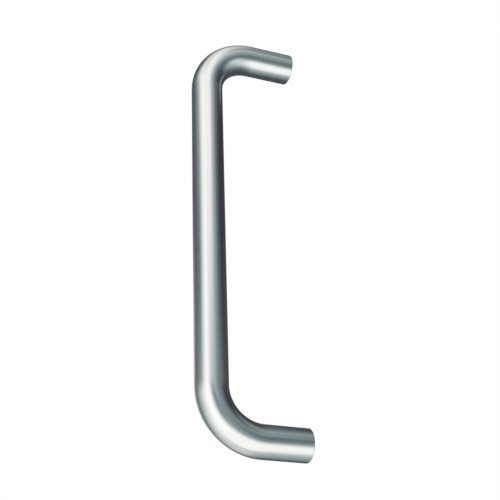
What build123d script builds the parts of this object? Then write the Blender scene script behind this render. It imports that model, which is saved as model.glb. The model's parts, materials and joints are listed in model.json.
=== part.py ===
"""Tubular D-shaped door pull handle: one bent stainless tube with a tapped steel insert in each foot.

Sizes are millimetres and +Z is up, along the grip. The door's face is the plane Y = 0 and the handle stands
out from it towards -Y. The origin lies on the door's face, midway between the two fixing holes.
"""

import math
import os

from build123d import *

# Driving dimensions of the handle
FIXING_CENTRES = 250.0
PROJECTION = 65.0
TUBE_DIAMETER = 19.0
TUBE_WALL = 1.5
BEND_RADIUS = 29.0

# Edge breaks on the two feet, where the tube is cut square and deburred
OUTER_RIM_ROUND = 0.4
INNER_RIM_CHAMFER = 0.4

# Tapped inserts, fitted in the straight of each leg and held flush with the foot
INSERT_CLEARANCE = 0.03
INSERT_BEND_GAP = 6.5
INSERT_EDGE_CHAMFER = 0.5

# M8 coarse thread in each insert, drilled through at its tapping size and countersunk for the bolt's entry
TAPPING_DIAMETER = 6.8
THREAD_MOUTH_WIDTH = 0.8
THREAD_MOUTH_ANGLE = 120.0

# Sizes that follow from the driving ones
TUBE_BORE = TUBE_DIAMETER - 2 * TUBE_WALL
GRIP_OFFSET = PROJECTION - TUBE_DIAMETER / 2
LEG_HEIGHT = FIXING_CENTRES / 2
LEG_STRAIGHT = GRIP_OFFSET - BEND_RADIUS
INSERT_DIAMETER = TUBE_BORE - 2 * INSERT_CLEARANCE
INSERT_LENGTH = LEG_STRAIGHT - INSERT_BEND_GAP


def handle_centreline():
    """The tube's centreline: out along the upper leg, down the grip and back along the lower leg."""
    corners = [
        (0, 0, LEG_HEIGHT),
        (0, -GRIP_OFFSET, LEG_HEIGHT),
        (0, -GRIP_OFFSET, -LEG_HEIGHT),
        (0, 0, -LEG_HEIGHT),
    ]
    return FilletPolyline(corners, radius=BEND_RADIUS)


def foot_rims(tube, diameter):
    """The circular edges of that diameter on the faces that meet the door."""
    on_door = tube.edges().filter_by_position(Axis.Y, 0, 0)
    return on_door.filter_by(lambda rim: abs(rim.radius - diameter / 2) < TUBE_WALL / 2)


def bent_tube():
    """One length of tube, bent twice and cut square at both feet."""
    centreline = handle_centreline()
    wall_section = Circle(TUBE_DIAMETER / 2) - Circle(TUBE_BORE / 2)
    start = Plane(origin=centreline @ 0, z_dir=centreline % 0)
    tube = sweep(start * wall_section, path=centreline)
    tube = fillet(foot_rims(tube, TUBE_DIAMETER), OUTER_RIM_ROUND)
    return chamfer(foot_rims(tube, TUBE_BORE), INNER_RIM_CHAMFER)


def threaded_insert(height):
    """A turned plug at that height, flush with the door face and drilled through for its thread."""
    foot = Plane(origin=(0, 0, height), z_dir=(0, -1, 0))
    plug = extrude(foot * Circle(INSERT_DIAMETER / 2), INSERT_LENGTH)
    plug = chamfer(plug.edges(), INSERT_EDGE_CHAMFER)
    plug -= extrude(foot * Circle(TAPPING_DIAMETER / 2), INSERT_LENGTH)
    return plug - thread_mouth(foot)


def thread_mouth(foot):
    """The countersink at the thread's entry, as a cone that narrows to the tapping size."""
    narrow = TAPPING_DIAMETER / 2
    wide = narrow + THREAD_MOUTH_WIDTH
    depth = THREAD_MOUTH_WIDTH / math.tan(math.radians(THREAD_MOUTH_ANGLE / 2))
    cone = Cone(wide, narrow, depth, align=(Align.CENTER, Align.CENTER, Align.MIN))
    return foot * cone


def build_parts():
    """Every piece of the handle by its node name."""
    return {
        "bent_tube": bent_tube(),
        "upper_threaded_insert": threaded_insert(LEG_HEIGHT),
        "lower_threaded_insert": threaded_insert(-LEG_HEIGHT),
    }


def main():
    os.makedirs("parts", exist_ok=True)
    for node, solid in build_parts().items():
        export_step(solid, f"parts/{node}.step")


main()
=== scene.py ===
"""The looks of a tubular D-shaped door pull: satin stainless tube, tapped inserts, and a studio round them.

Metres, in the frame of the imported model: +Z up along the grip, the door's face at Y = 0, the grip towards -Y.
"""

import json
import math
from typing import NamedTuple

import bmesh
import bpy
from mathutils import Matrix, Quaternion, Vector


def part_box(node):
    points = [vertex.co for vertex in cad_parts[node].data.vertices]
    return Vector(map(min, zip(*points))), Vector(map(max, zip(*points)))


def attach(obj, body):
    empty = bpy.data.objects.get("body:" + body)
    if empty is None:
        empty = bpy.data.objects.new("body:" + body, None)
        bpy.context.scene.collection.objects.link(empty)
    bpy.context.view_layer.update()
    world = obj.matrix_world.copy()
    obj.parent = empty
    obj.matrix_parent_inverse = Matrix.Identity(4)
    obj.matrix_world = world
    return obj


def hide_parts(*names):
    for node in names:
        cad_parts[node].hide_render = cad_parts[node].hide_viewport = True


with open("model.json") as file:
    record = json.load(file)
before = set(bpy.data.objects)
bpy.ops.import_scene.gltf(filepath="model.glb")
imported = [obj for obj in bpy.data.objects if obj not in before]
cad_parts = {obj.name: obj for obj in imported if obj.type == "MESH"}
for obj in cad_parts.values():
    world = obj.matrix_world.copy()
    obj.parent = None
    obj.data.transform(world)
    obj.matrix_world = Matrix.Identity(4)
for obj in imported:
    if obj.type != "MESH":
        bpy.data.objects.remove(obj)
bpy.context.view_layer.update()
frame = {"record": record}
MM = 0.001

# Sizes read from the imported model
FIXINGS = next(mount for mount in frame["record"]["mounts"] if mount["name"] == "door_fixings")["dims"]
LEG_HEIGHT = FIXINGS["spacing_y_mm"] / 2 * MM
TAPPING_RADIUS = FIXINGS["hole_r_mm"] * MM
TUBE_LOW, TUBE_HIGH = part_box("bent_tube")
TUBE_RADIUS = TUBE_HIGH[2] - LEG_HEIGHT
GRIP_OFFSET = -TUBE_LOW[1] - TUBE_RADIUS
INSERT_LENGTH = -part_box("upper_threaded_insert")[0][1]

# Sizes of the tube that its box doesn't give
TUBE_WALL = 1.5 * MM
BEND_RADIUS = 29 * MM
RIM_BREAK = 0.4 * MM

# How finely the tube is drawn, and how rims, cut ends and smooth edges are told
TUBE_SIDES = 112
BEND_STEPS = 36
GRIP_STEPS = 24
LEG_STEPS = 4
RIM_ROUND_STEPS = 4
NEAR_ENOUGH = 0.04 * MM
CUT_FACING = 0.99
SMOOTH_BELOW = math.radians(35)

# Sizes that follow
TUBE_BORE_RADIUS = TUBE_RADIUS - TUBE_WALL
HALF_GRIP = LEG_HEIGHT - BEND_RADIUS
BEND_LENGTH = BEND_RADIUS * math.pi / 2
LEG_STRAIGHT = GRIP_OFFSET - BEND_RADIUS
HALF_LENGTH = HALF_GRIP + BEND_LENGTH + LEG_STRAIGHT

# Inserts and their M8 coarse thread
INSERT_CLEARANCE = 0.03 * MM
INSERT_RADIUS = TUBE_BORE_RADIUS - INSERT_CLEARANCE
INSERT_CHAMFER = 0.5 * MM
INSERT_SIDES = 96
THREAD_PITCH = 1.25 * MM
THREAD_RADIUS = 4.0 * MM
THREAD_ROOT_FLAT = THREAD_PITCH / 8
THREAD_HALF_ANGLE = math.radians(30)
THREAD_FLANK = (THREAD_RADIUS - TAPPING_RADIUS) * math.tan(THREAD_HALF_ANGLE)
THREAD_STEPS = 48
THREAD_CUTS = 2
THREAD_SPARE_TURNS = 2
THREAD_MERGE = THREAD_PITCH / 1000
MOUTH_WIDENING = 0.8 * MM
MOUTH_RADIUS = TAPPING_RADIUS + MOUTH_WIDENING
MOUTH_HALF_ANGLE = math.radians(60)
MOUTH_SLOPE = math.tan(MOUTH_HALF_ANGLE)
BACK_MOUTH_WIDENING = 0.05 * MM
BACK_MOUTH_RADIUS = THREAD_RADIUS + BACK_MOUTH_WIDENING

# Finishes: patterns by the metre, the depth of their relief, and colours from dull to bright
POLISHING_LINES = (90, 90, 5200)
POLISHING_CONTRAST = (0.3, 0.7)
POLISHING_DEPTH = 0.0015 * MM
POLISHING_CLOUDS = (60, 60, 25)
CUT_MARKS = 14000
CUT_DEPTH = 0.006 * MM
CUT_BLOTCHES = (400, 400, 400)
TURNING_MARKS = 9000
TURNING_DEPTH = 0.012 * MM
TURNING_BLOTCHES = (300, 300, 300)
FLOOR_MOTTLE = (3, 3, 3)
TUBE_COLOURS = (0.6, 0.6, 0.6, 1), (0.64, 0.64, 0.64, 1)
RIM_COLOURS = (0.54, 0.55, 0.55, 1), (0.62, 0.62, 0.61, 1)
INSERT_COLOURS = (0.5, 0.5, 0.49, 1), (0.58, 0.58, 0.57, 1)
FLOOR_COLOURS = (0.72, 0.72, 0.72, 1), (0.76, 0.76, 0.76, 1)

# Roughness of each metal, and what its pattern adds
TUBE_ROUGHNESS = 0.14
LINES_ROUGHEN = 0.06
CLOUDS_ROUGHEN = 0.04
RIM_ROUGHNESS = 0.3
CUT_ROUGHENS = 0.12
INSERT_ROUGHNESS = 0.26
TURNING_ROUGHENS = 0.14

# Camera, fitted to the outline in the photograph: the handle is seen from its right and from below
CAMERA_PLACE = Vector((510.5, -248.5, -288.5)) * MM
CAMERA_FORWARD = Vector((-0.8222, 0.3515, 0.4477))
CAMERA_ROLL = math.radians(-1.95)
CAMERA_LENS = 76.75

# Studio: the floor lies below the photograph's camera, and fades out into the backdrop
FLOOR_HEIGHT = -0.7
FLOOR_CLEAR = 0.9
FLOOR_RADIUS = 2.6
FLOOR_SIDES = 96
DOME_DETAIL = 5
ROOM_RADIUS = 3.0
FLAG_RADIUS = 0.45
ROOM_GLOW = 0.05
LAMP_PLACE = Vector((0.2, -0.5, 1.2))
LAMP_SIZE = 0.8
LAMP_POWER = 12
WORLD_LIGHT = 0.9

# The backdrop: white where the photograph looks, pale grey elsewhere, and the cosines between which it turns
BACKDROP_WHITE = (1.0, 1.0, 1.0)
BACKDROP_GREY = (0.74, 0.74, 0.74)
BACKDROP_TURN = (0.0, 0.6)

# Tints of the room's dark, half-lit, bright and warm parts, and the glows at which they change
DARK_TINT = (0.98, 1.0, 1.17)
HALF_TINT = (0.77, 1.0, 1.02)
BRIGHT_TINT = (1.0, 1.0, 0.97)
WARM_TINT = (1.0, 1.0, 0.95)
DARK_TO_HALF = (0.02, 0.25)
HALF_TO_BRIGHT = (0.2, 1.6)

# Tints of the flag and of the gauze at its edge, and the share of cover over which the gauze comes in
FLAG_TINT = (0.9, 1.0, 1.12)
GAUZE_TINT = (0.9, 1.0, 1.02)
GAUZE_COVER = (0.0, 0.5)


class Panel(NamedTuple):
    """A soft patch of the room: its glow, and for each edge its angle in degrees and how far it fades."""
    glow: float
    left: tuple = None
    right: tuple = None
    bottom: tuple = None
    top: tuple = None


# How far an edge fades, in degrees
CRISP = 10
SOFT = 30
BROAD = 60
FAINT = 90

# The room as the metal sees it, each panel over those before it; bearings run from -Y towards +X
PANELS = {
    # Nearly all these numbers, the opening's and the flag's are a fit to the photograph, rounded
    "left_wall": Panel(0.15, (-140, BROAD), (-5, CRISP), (-15, SOFT), (85, SOFT)),
    "right_wall_near": Panel(0.4, (80, CRISP), (110, SOFT), (-15, CRISP), (20, CRISP)),
    "right_wall_far": Panel(0.35, (110, CRISP), (130, BROAD), (15, CRISP), (80, CRISP)),
    "right_wall_high": Panel(0.55, (90, CRISP), (170, BROAD), (40, CRISP), (55, BROAD)),
    "ceiling": Panel(1.1, bottom=(75, SOFT)),
    "floor": Panel(0.95, top=(-25, BROAD)),
    "floor_in_front": Panel(1.5, (-20, FAINT), (155, BROAD), top=(-25, SOFT)),
    "high_fill": Panel(1.1, (-15, BROAD), (30, CRISP), (35, SOFT), (90, SOFT)),
    "low_fill": Panel(1.25, (-20, FAINT), (55, SOFT), (-30, CRISP), (15, SOFT)),
    "front_softbox": Panel(1.7, (20, BROAD), (60, BROAD), (-40, CRISP), (60, BROAD)),
    "side_softbox": Panel(1.6, (45, FAINT), (100, BROAD), (20, SOFT), (80, SOFT)),
    "low_card": Panel(1.15, (125, SOFT), (170, FAINT), (-30, CRISP), (10, SOFT)),
}
# Where the room is warm instead; here the first number is how far the warm tint takes over
WARM_PARTS = {
    "ceiling": Panel(0.9, bottom=(70, CRISP)),
    "ceiling_left": Panel(0.9, (-140, SOFT), (60, BROAD), bottom=(55, CRISP)),
    "floor_left": Panel(0.7, (-110, SOFT), (-45, SOFT), top=(-5, CRISP)),
}
# Where the white behind the handle shows between the walls
OPENING = Panel(1.0, (-105, CRISP), (-70, BROAD), (0, SOFT), (25, CRISP))
# A dark flag behind the handle, nearer than the walls
DARK_FLAG = Panel(0.1, (175, FAINT), (265, SOFT), (-65, FAINT), (30, SOFT))


# Node trees written as expressions
class Signal:
    """An output socket that takes Python's operators, each of which adds a Math node."""

    def __init__(self, nodes, socket):
        self.nodes = nodes
        self.socket = socket

    def maths(self, operation, *values):
        inputs = dict(enumerate(values))
        return self.nodes.add("ShaderNodeMath", {"operation": operation}, inputs)

    def __add__(self, other):
        return self.maths("ADD", self, other)

    def __radd__(self, other):
        return self.maths("ADD", other, self)

    def __sub__(self, other):
        return self.maths("SUBTRACT", self, other)

    def __rsub__(self, other):
        return self.maths("SUBTRACT", other, self)

    def __mul__(self, other):
        return self.maths("MULTIPLY", self, other)

    def __rmul__(self, other):
        return self.maths("MULTIPLY", other, self)

    def __pow__(self, other):
        return self.maths("POWER", self, other)

    def __abs__(self):
        return self.maths("ABSOLUTE", self)

    def ramp(self, low, high):
        """0 below low, 1 above high, and smooth between."""
        settings = {"interpolation_type": "SMOOTHSTEP"}
        inputs = {"Value": self, "From Min": low, "From Max": high}
        return self.nodes.add("ShaderNodeMapRange", settings, inputs)


class Nodes:
    """The node tree of a material or of the world."""

    def __init__(self, tree):
        tree.nodes.clear()
        self.tree = tree

    def add(self, kind, settings=None, inputs=None, output=0):
        node = self.tree.nodes.new(kind)
        for name, value in (settings or {}).items():
            setattr(node, name, value)
        for name, value in (inputs or {}).items():
            self.feed(node.inputs[name], value)
        return Signal(self, node.outputs[output])

    def feed(self, socket, value):
        if isinstance(value, Signal):
            self.tree.links.new(value.socket, socket)
        else:
            socket.default_value = value

    def mix_colour(self, factor, low, high):
        inputs = {0: factor, 6: low, 7: high}
        return self.add("ShaderNodeMix", {"data_type": "RGBA"}, inputs, 2)

    def split(self, vector):
        """The X, Y and Z of a vector."""
        first = self.add("ShaderNodeSeparateXYZ", None, {0: vector})
        return [Signal(self, output) for output in first.socket.node.outputs]

    def stretched(self, vector, scale):
        """A pattern's coordinates, finer along each axis by its own scale."""
        inputs = {"Vector": vector, "Scale": scale}
        return self.add("ShaderNodeMapping", None, inputs)

    def noise(self, vector, detail=2.0, roughness=0.5):
        inputs = {"Vector": vector, "Scale": 1.0, "Detail": detail, "Roughness": roughness}
        return self.add("ShaderNodeTexNoise", None, inputs)

    def bump(self, height, depth):
        inputs = {"Height": height, "Distance": depth, "Strength": 1.0}
        return self.add("ShaderNodeBump", None, inputs)

    def metal(self, colour, roughness, relief):
        inputs = {"Base Color": colour, "Roughness": roughness, "Metallic": 1.0, "Normal": relief}
        self.surface(self.add("ShaderNodeBsdfPrincipled", None, inputs))

    def light_path(self, *rays):
        return [self.add("ShaderNodeLightPath", None, None, ray) for ray in rays]

    def surface(self, shader):
        self.add_output("ShaderNodeOutputMaterial", shader)

    def add_output(self, kind, shader):
        self.feed(self.tree.nodes.new(kind).inputs["Surface"], shader)


def new_material(name):
    material = bpy.data.materials.new(name)
    material.use_nodes = True
    return material, Nodes(material.node_tree)


# Finishes
def satin_stainless():
    """Stainless tube polished on a belt: fine lines round the tube, over a faint unevenness along it."""
    material, nodes = new_material("satin_stainless")
    drawn = nodes.add("ShaderNodeAttribute", {"attribute_name": "straightened"}, None, "Vector")
    lines = nodes.noise(nodes.stretched(drawn, POLISHING_LINES), detail=3, roughness=0.6)
    clouds = nodes.noise(nodes.stretched(drawn, POLISHING_CLOUDS))
    colour = nodes.mix_colour(lines.ramp(*POLISHING_CONTRAST), *TUBE_COLOURS)
    roughness = TUBE_ROUGHNESS + lines * LINES_ROUGHEN + clouds * CLOUDS_ROUGHEN
    nodes.metal(colour, roughness, nodes.bump(lines, POLISHING_DEPTH))
    return material


def cut_rim():
    """The tube's cut end: faced square, with fine concentric marks."""
    material, nodes = new_material("cut_rim")
    drawn = nodes.add("ShaderNodeAttribute", {"attribute_name": "straightened"}, None, "Vector")
    ends = nodes.stretched(drawn, (1, 1, 0))
    radius = nodes.add("ShaderNodeVectorMath", {"operation": "LENGTH"}, {0: ends}, "Value")
    tool_path = nodes.add("ShaderNodeCombineXYZ", None, {"X": radius * CUT_MARKS})
    marks = nodes.noise(tool_path, roughness=0.6)
    blotches = nodes.noise(nodes.stretched(drawn, CUT_BLOTCHES))
    colour = nodes.mix_colour(blotches, *RIM_COLOURS)
    nodes.metal(colour, RIM_ROUGHNESS + marks * CUT_ROUGHENS, nodes.bump(marks, CUT_DEPTH))
    return material


def turned_steel():
    """The inserts: free-cutting steel as it leaves the lathe, with rings round the thread's axis."""
    material, nodes = new_material("turned_steel")
    place = nodes.add("ShaderNodeTexCoord", None, None, "Object")
    x, depth, z = nodes.split(place)
    height = abs(z) - LEG_HEIGHT
    radius = (x ** 2 + height ** 2) ** 0.5
    inputs = {"X": radius * TURNING_MARKS, "Y": depth * TURNING_MARKS}
    tool_path = nodes.add("ShaderNodeCombineXYZ", None, inputs)
    rings = nodes.noise(tool_path, roughness=0.6)
    blotches = nodes.noise(nodes.stretched(place, TURNING_BLOTCHES))
    colour = nodes.mix_colour(blotches, *INSERT_COLOURS)
    nodes.metal(colour, INSERT_ROUGHNESS + rings * TURNING_ROUGHENS, nodes.bump(rings, TURNING_DEPTH))
    return material


# Pieces
def finish_piece(bm, name, materials):
    """Writes a mesh out as an object at the origin, smooth but for its sharp edges."""
    for face in bm.faces:
        face.smooth = True
    for edge in bm.edges:
        edge.smooth = edge.is_manifold and edge.calc_face_angle() < SMOOTH_BELOW
    mesh = bpy.data.meshes.new(name)
    bm.to_mesh(mesh)
    bm.free()
    for material in materials:
        mesh.materials.append(material)
    piece = bpy.data.objects.new(name, mesh)
    bpy.context.scene.collection.objects.link(piece)
    normals = piece.modifiers.new("even_normals", "WEIGHTED_NORMAL")
    normals.keep_sharp = True
    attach(piece, "root")
    return piece


def draw_tube(bm):
    """The straight length of tube, drawn ring by ring from its lower foot and then given its wall."""
    stretches = [
        (LEG_STRAIGHT, LEG_STEPS),
        (BEND_LENGTH, BEND_STEPS),
        (2 * HALF_GRIP, GRIP_STEPS),
        (BEND_LENGTH, BEND_STEPS),
        (LEG_STRAIGHT, LEG_STEPS),
    ]
    foot = Matrix.Translation((0, 0, -HALF_LENGTH))
    bmesh.ops.create_circle(bm, segments=TUBE_SIDES, radius=TUBE_RADIUS, matrix=foot)
    ring = bm.edges[:]
    for length, steps in stretches:
        for _ in range(steps):
            grown = bmesh.ops.extrude_edge_only(bm, edges=ring)["geom"]
            verts = [item for item in grown if isinstance(item, bmesh.types.BMVert)]
            ring = [item for item in grown if isinstance(item, bmesh.types.BMEdge)]
            bmesh.ops.translate(bm, verts=verts, vec=(0, 0, length / steps))
    bmesh.ops.recalc_face_normals(bm, faces=bm.faces)
    bmesh.ops.solidify(bm, geom=bm.faces[:], thickness=TUBE_WALL)


def bent(place):
    """Where a point of the straight tube goes when it is bent; Z runs along it and +Y is inside the D."""
    along = abs(place.z)
    turn = min(max(along - HALF_GRIP, 0) / BEND_RADIUS, math.pi / 2)
    reach = BEND_RADIUS - place.y
    past_bend = max(along - HALF_GRIP - BEND_LENGTH, 0)
    y = BEND_RADIUS - GRIP_OFFSET - reach * math.cos(turn) + past_bend
    z = min(along, HALF_GRIP) + reach * math.sin(turn)
    return Vector((place.x, y, math.copysign(z, place.z)))


def rim_edges(bm, radius):
    """The edges of both end rims at that radius."""
    def on_rim(vert):
        return abs(abs(vert.co.z) - HALF_LENGTH) < NEAR_ENOUGH

    def at_radius(vert):
        return abs(vert.co.xy.length - radius) < NEAR_ENOUGH

    return [edge for edge in bm.edges if all(on_rim(vert) and at_radius(vert) for vert in edge.verts)]


def handle_tube():
    """The tube: drawn straight, its rims broken, then bent twice."""
    bm = bmesh.new()
    draw_tube(bm)
    for radius, steps in ((TUBE_RADIUS, RIM_ROUND_STEPS), (TUBE_BORE_RADIUS, 1)):
        bmesh.ops.bevel(bm, geom=rim_edges(bm, radius), offset=RIM_BREAK, offset_type="OFFSET",
                        segments=steps, profile=0.5, affect="EDGES", material=-1)
    straightened = bm.verts.layers.float_vector.new("straightened")
    for face in bm.faces:
        face.material_index = int(abs(face.normal.z) > CUT_FACING)
    for vert in bm.verts:
        vert[straightened] = vert.co
        vert.co = bent(vert.co)
    piece = finish_piece(bm, "handle_tube", [satin_stainless(), cut_rim()])
    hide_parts("bent_tube")


def thread_wall(bm):
    """The tapped hole's wall along Z, cut off at the insert's two faces; returns its end loops."""
    crest = THREAD_PITCH - THREAD_ROOT_FLAT - 2 * THREAD_FLANK
    corners = [
        (TAPPING_RADIUS, 0),
        (TAPPING_RADIUS, crest),
        (THREAD_RADIUS, crest + THREAD_FLANK),
        (THREAD_RADIUS, crest + THREAD_FLANK + THREAD_ROOT_FLAT),
        (TAPPING_RADIUS, THREAD_PITCH),
    ]
    turns = math.ceil(INSERT_LENGTH / THREAD_PITCH) + THREAD_SPARE_TURNS
    start = -THREAD_SPARE_TURNS * THREAD_PITCH
    chain = [bm.verts.new((radius, 0, start + rise)) for radius, rise in corners]
    edges = [bm.edges.new(pair) for pair in zip(chain, chain[1:])]
    bmesh.ops.subdivide_edges(bm, edges=edges, cuts=THREAD_CUTS)
    bmesh.ops.spin(bm, geom=bm.verts[:] + bm.edges[:], cent=(0, 0, 0), axis=(0, 0, 1),
                   dvec=(0, 0, THREAD_PITCH / THREAD_STEPS), angle=turns * math.tau,
                   steps=turns * THREAD_STEPS)
    bmesh.ops.remove_doubles(bm, verts=bm.verts, dist=THREAD_MERGE)
    loops = []
    for height, outward in ((0, -1), (INSERT_LENGTH, 1)):
        wall = bm.verts[:] + bm.edges[:] + bm.faces[:]
        cut = bmesh.ops.bisect_plane(bm, geom=wall, dist=THREAD_MERGE, plane_co=(0, 0, height),
                                     plane_no=(0, 0, outward), clear_outer=True)
        loops.append([item for item in cut["geom_cut"] if isinstance(item, bmesh.types.BMEdge)])
    for vert in bm.verts:
        mouth = max(MOUTH_RADIUS - vert.co.z * MOUTH_SLOPE,
                    BACK_MOUTH_RADIUS - (INSERT_LENGTH - vert.co.z) * MOUTH_SLOPE)
        radius = vert.co.xy.length
        vert.co.xy *= max(mouth, radius) / radius
    return loops


def insert_body(bm):
    """The insert's turned outside along Z; returns the rims that its two faces meet."""
    outline = [
        (INSERT_RADIUS - INSERT_CHAMFER, 0),
        (INSERT_RADIUS, INSERT_CHAMFER),
        (INSERT_RADIUS, INSERT_LENGTH - INSERT_CHAMFER),
        (INSERT_RADIUS - INSERT_CHAMFER, INSERT_LENGTH),
    ]
    chain = [bm.verts.new((radius, 0, rise)) for radius, rise in outline]
    edges = [bm.edges.new(pair) for pair in zip(chain, chain[1:])]
    bmesh.ops.spin(bm, geom=chain + edges, cent=(0, 0, 0), axis=(0, 0, 1), angle=math.tau,
                   steps=INSERT_SIDES, use_merge=True)

    def rim(height):
        return [edge for edge in bm.edges if edge.is_boundary
                and all(abs(vert.co.z - height) < NEAR_ENOUGH for vert in edge.verts)
                and all(vert.co.xy.length > MOUTH_RADIUS + INSERT_CHAMFER for vert in edge.verts)]

    return rim(0), rim(INSERT_LENGTH)


def tapped_insert(name, node, height, finish):
    """A turned plug with a real thread, its Z turned to run into the leg from the door's face."""
    bm = bmesh.new()
    mouths = thread_wall(bm)
    rims = insert_body(bm)
    for mouth, rim in zip(mouths, rims):
        bmesh.ops.triangle_fill(bm, edges=mouth + rim, use_beauty=True)
    bmesh.ops.remove_doubles(bm, verts=bm.verts, dist=THREAD_MERGE)
    bmesh.ops.recalc_face_normals(bm, faces=bm.faces)
    into_leg = Matrix.Translation((0, 0, height)) @ Matrix.Rotation(math.radians(90), 4, "X")
    bmesh.ops.transform(bm, matrix=into_leg, verts=bm.verts)
    piece = finish_piece(bm, name, [finish])
    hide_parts(node)


# Studio
def add_stage(bm, name, material):
    """A thing of the studio, which is no piece of the handle."""
    mesh = bpy.data.meshes.new(name)
    bm.to_mesh(mesh)
    bm.free()
    mesh.materials.append(material)
    thing = bpy.data.objects.new(name, mesh)
    bpy.context.scene.collection.objects.link(thing)
    return thing


def panel_mask(bearing, rise, panel):
    """1 on a panel and 0 off it, with each edge faded."""
    mask = 1.0
    if panel.left:
        middle = (panel.left[0] + panel.right[0]) / 2
        bearing = bearing.maths("WRAP", bearing, middle + 180, middle - 180)
    for angle, low, high in ((bearing, panel.left, panel.right), (rise, panel.bottom, panel.top)):
        if low:
            mask = angle.ramp(low[0] - low[1] / 2, low[0] + low[1] / 2) * mask
        if high:
            mask = (1 - angle.ramp(high[0] - high[1] / 2, high[0] + high[1] / 2)) * mask
    return mask


def bearing_and_rise(nodes):
    """Where a point on a dome lies as the handle sees it, in degrees."""
    place = nodes.add("ShaderNodeTexCoord", None, None, "Object")
    outward = nodes.add("ShaderNodeVectorMath", {"operation": "NORMALIZE"}, {0: place})
    x, y, z = nodes.split(outward)
    bearing = x.maths("ARCTAN2", x, 0 - y) * math.degrees(1)
    rise = z.maths("ARCSINE", z) * math.degrees(1)
    return bearing, rise


def add_dome(name, radius, material):
    """A sphere round the handle, met only by light that leaves the metal."""
    material.cycles.emission_sampling = "NONE"
    bm = bmesh.new()
    bmesh.ops.create_icosphere(bm, subdivisions=DOME_DETAIL, radius=radius)
    dome = add_stage(bm, name, material)
    dome.visible_camera = False
    dome.visible_diffuse = False
    dome.visible_shadow = False


def studio_room():
    """The walls, floor, ceiling and lights that the metal mirrors."""
    material, nodes = new_material("studio_room")
    bearing, rise = bearing_and_rise(nodes)
    glow = ROOM_GLOW
    for panel in PANELS.values():
        glow = glow + panel_mask(bearing, rise, panel) * (panel.glow - glow)
    tint = nodes.mix_colour(glow.ramp(*DARK_TO_HALF), (*DARK_TINT, 1), (*HALF_TINT, 1))
    tint = nodes.mix_colour(glow.ramp(*HALF_TO_BRIGHT), tint, (*BRIGHT_TINT, 1))
    for part in WARM_PARTS.values():
        tint = nodes.mix_colour(panel_mask(bearing, rise, part) * part.glow, tint, (*WARM_TINT, 1))
    colour = nodes.add("ShaderNodeVectorMath", {"operation": "SCALE"}, {0: tint, "Scale": glow})
    walls = nodes.add("ShaderNodeEmission", None, {"Color": colour})
    clear = nodes.add("ShaderNodeBsdfTransparent")
    opening = panel_mask(bearing, rise, OPENING)
    nodes.surface(nodes.add("ShaderNodeMixShader", None, {0: opening, 1: walls, 2: clear}))
    add_dome("studio_room", ROOM_RADIUS, material)


def dark_flag():
    """A dark flag between the handle and the walls, with an edge of teal gauze that thins out."""
    material, nodes = new_material("dark_flag")
    bearing, rise = bearing_and_rise(nodes)
    cloth = nodes.add("ShaderNodeEmission", None, {"Color": (*FLAG_TINT, 1), "Strength": DARK_FLAG.glow})
    clear = nodes.add("ShaderNodeBsdfTransparent")
    gauze = nodes.add("ShaderNodeBsdfTransparent", None, {"Color": (*GAUZE_TINT, 1)})
    cover = panel_mask(bearing, rise, DARK_FLAG)
    edge = nodes.add("ShaderNodeMixShader", None, {0: cover.ramp(*GAUZE_COVER), 1: clear, 2: gauze})
    nodes.surface(nodes.add("ShaderNodeMixShader", None, {0: cover, 1: edge, 2: cloth}))
    add_dome("dark_flag", FLAG_RADIUS, material)


def pale_floor():
    """A pale floor for the shadow, which thins out into the backdrop round it."""
    material, nodes = new_material("pale_floor")
    place = nodes.add("ShaderNodeTexCoord", None, None, "Object")
    mottle = nodes.noise(nodes.stretched(place, FLOOR_MOTTLE))
    colour = nodes.mix_colour(mottle, *FLOOR_COLOURS)
    pale = nodes.add("ShaderNodeBsdfDiffuse", None, {"Color": colour})
    clear = nodes.add("ShaderNodeBsdfTransparent")
    flat = nodes.stretched(place, (1, 1, 0))
    away = nodes.add("ShaderNodeVectorMath", {"operation": "LENGTH"}, {0: flat}, "Value")
    thinning = away.ramp(FLOOR_CLEAR, FLOOR_RADIUS)
    nodes.surface(nodes.add("ShaderNodeMixShader", None, {0: thinning, 1: pale, 2: clear}))
    bm = bmesh.new()
    level = Matrix.Translation((0, 0, FLOOR_HEIGHT))
    bmesh.ops.create_circle(bm, cap_ends=True, segments=FLOOR_SIDES, radius=FLOOR_RADIUS, matrix=level)
    floor = add_stage(bm, "pale_floor", material)
    floor.visible_glossy = False


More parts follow.
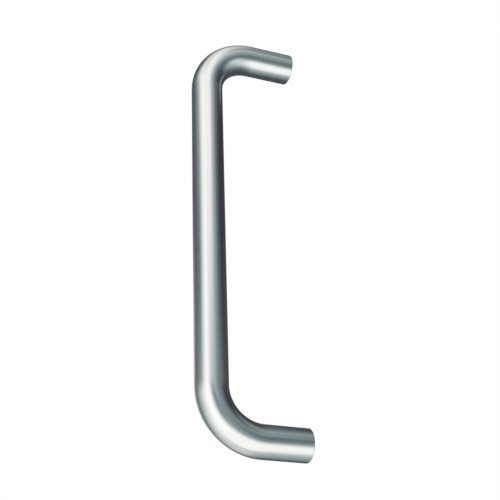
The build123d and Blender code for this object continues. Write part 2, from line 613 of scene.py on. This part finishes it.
def backdrop_world():
    """The backdrop where it is looked at, straight or in the metal, and a plain level of light elsewhere."""
    world = bpy.data.worlds.new("backdrop_world")
    world.use_nodes = True
    bpy.context.scene.world = world
    # Sampled as a light, it would reach the metal through the domes
    world.cycles.sampling_method = "NONE"
    nodes = Nodes(world.node_tree)
    seen = sum(nodes.light_path("Is Camera Ray", "Is Glossy Ray", "Is Transmission Ray"))
    strength = WORLD_LIGHT + seen.ramp(0, 1) * (1 - WORLD_LIGHT)
    direction = nodes.add("ShaderNodeTexCoord", None, None, "Generated")
    inputs = {0: direction, 1: CAMERA_FORWARD}
    ahead = nodes.add("ShaderNodeVectorMath", {"operation": "DOT_PRODUCT"}, inputs, "Value")
    colour = nodes.mix_colour(ahead.ramp(*BACKDROP_TURN), (*BACKDROP_GREY, 1), (*BACKDROP_WHITE, 1))
    light = nodes.add("ShaderNodeBackground", None, {"Color": colour, "Strength": strength})
    nodes.add_output("ShaderNodeOutputWorld", light)


def top_lamp():
    """A broad lamp overhead, for the shadow on the floor."""
    lamp = bpy.data.lights.new("top_lamp", "AREA")
    lamp.shape = "DISK"
    lamp.size = LAMP_SIZE
    lamp.energy = LAMP_POWER
    holder = bpy.data.objects.new("top_lamp", lamp)
    holder.location = LAMP_PLACE
    holder.rotation_mode = "QUATERNION"
    holder.rotation_quaternion = holder.location.to_track_quat("Z", "Y")
    holder.visible_glossy = False
    bpy.context.scene.collection.objects.link(holder)


def photo_camera():
    """The camera, placed and turned as the photograph's was."""
    lens = bpy.data.cameras.new("photo_camera")
    lens.lens = CAMERA_LENS
    camera = bpy.data.objects.new("photo_camera", lens)
    camera.location = CAMERA_PLACE
    camera.rotation_mode = "QUATERNION"
    level = CAMERA_FORWARD.to_track_quat("-Z", "Y")
    camera.rotation_quaternion = level @ Quaternion((0, 0, 1), CAMERA_ROLL)
    bpy.context.scene.collection.objects.link(camera)
    bpy.context.scene.camera = camera


bpy.context.scene.view_settings.view_transform = "Standard"
handle_tube()
INSERT_FINISH = turned_steel()
tapped_insert("upper_tapped_insert", "upper_threaded_insert", LEG_HEIGHT, INSERT_FINISH)
tapped_insert("lower_tapped_insert", "lower_threaded_insert", -LEG_HEIGHT, INSERT_FINISH)
studio_room()
dark_flag()
pale_floor()
backdrop_world()
top_lamp()
photo_camera()
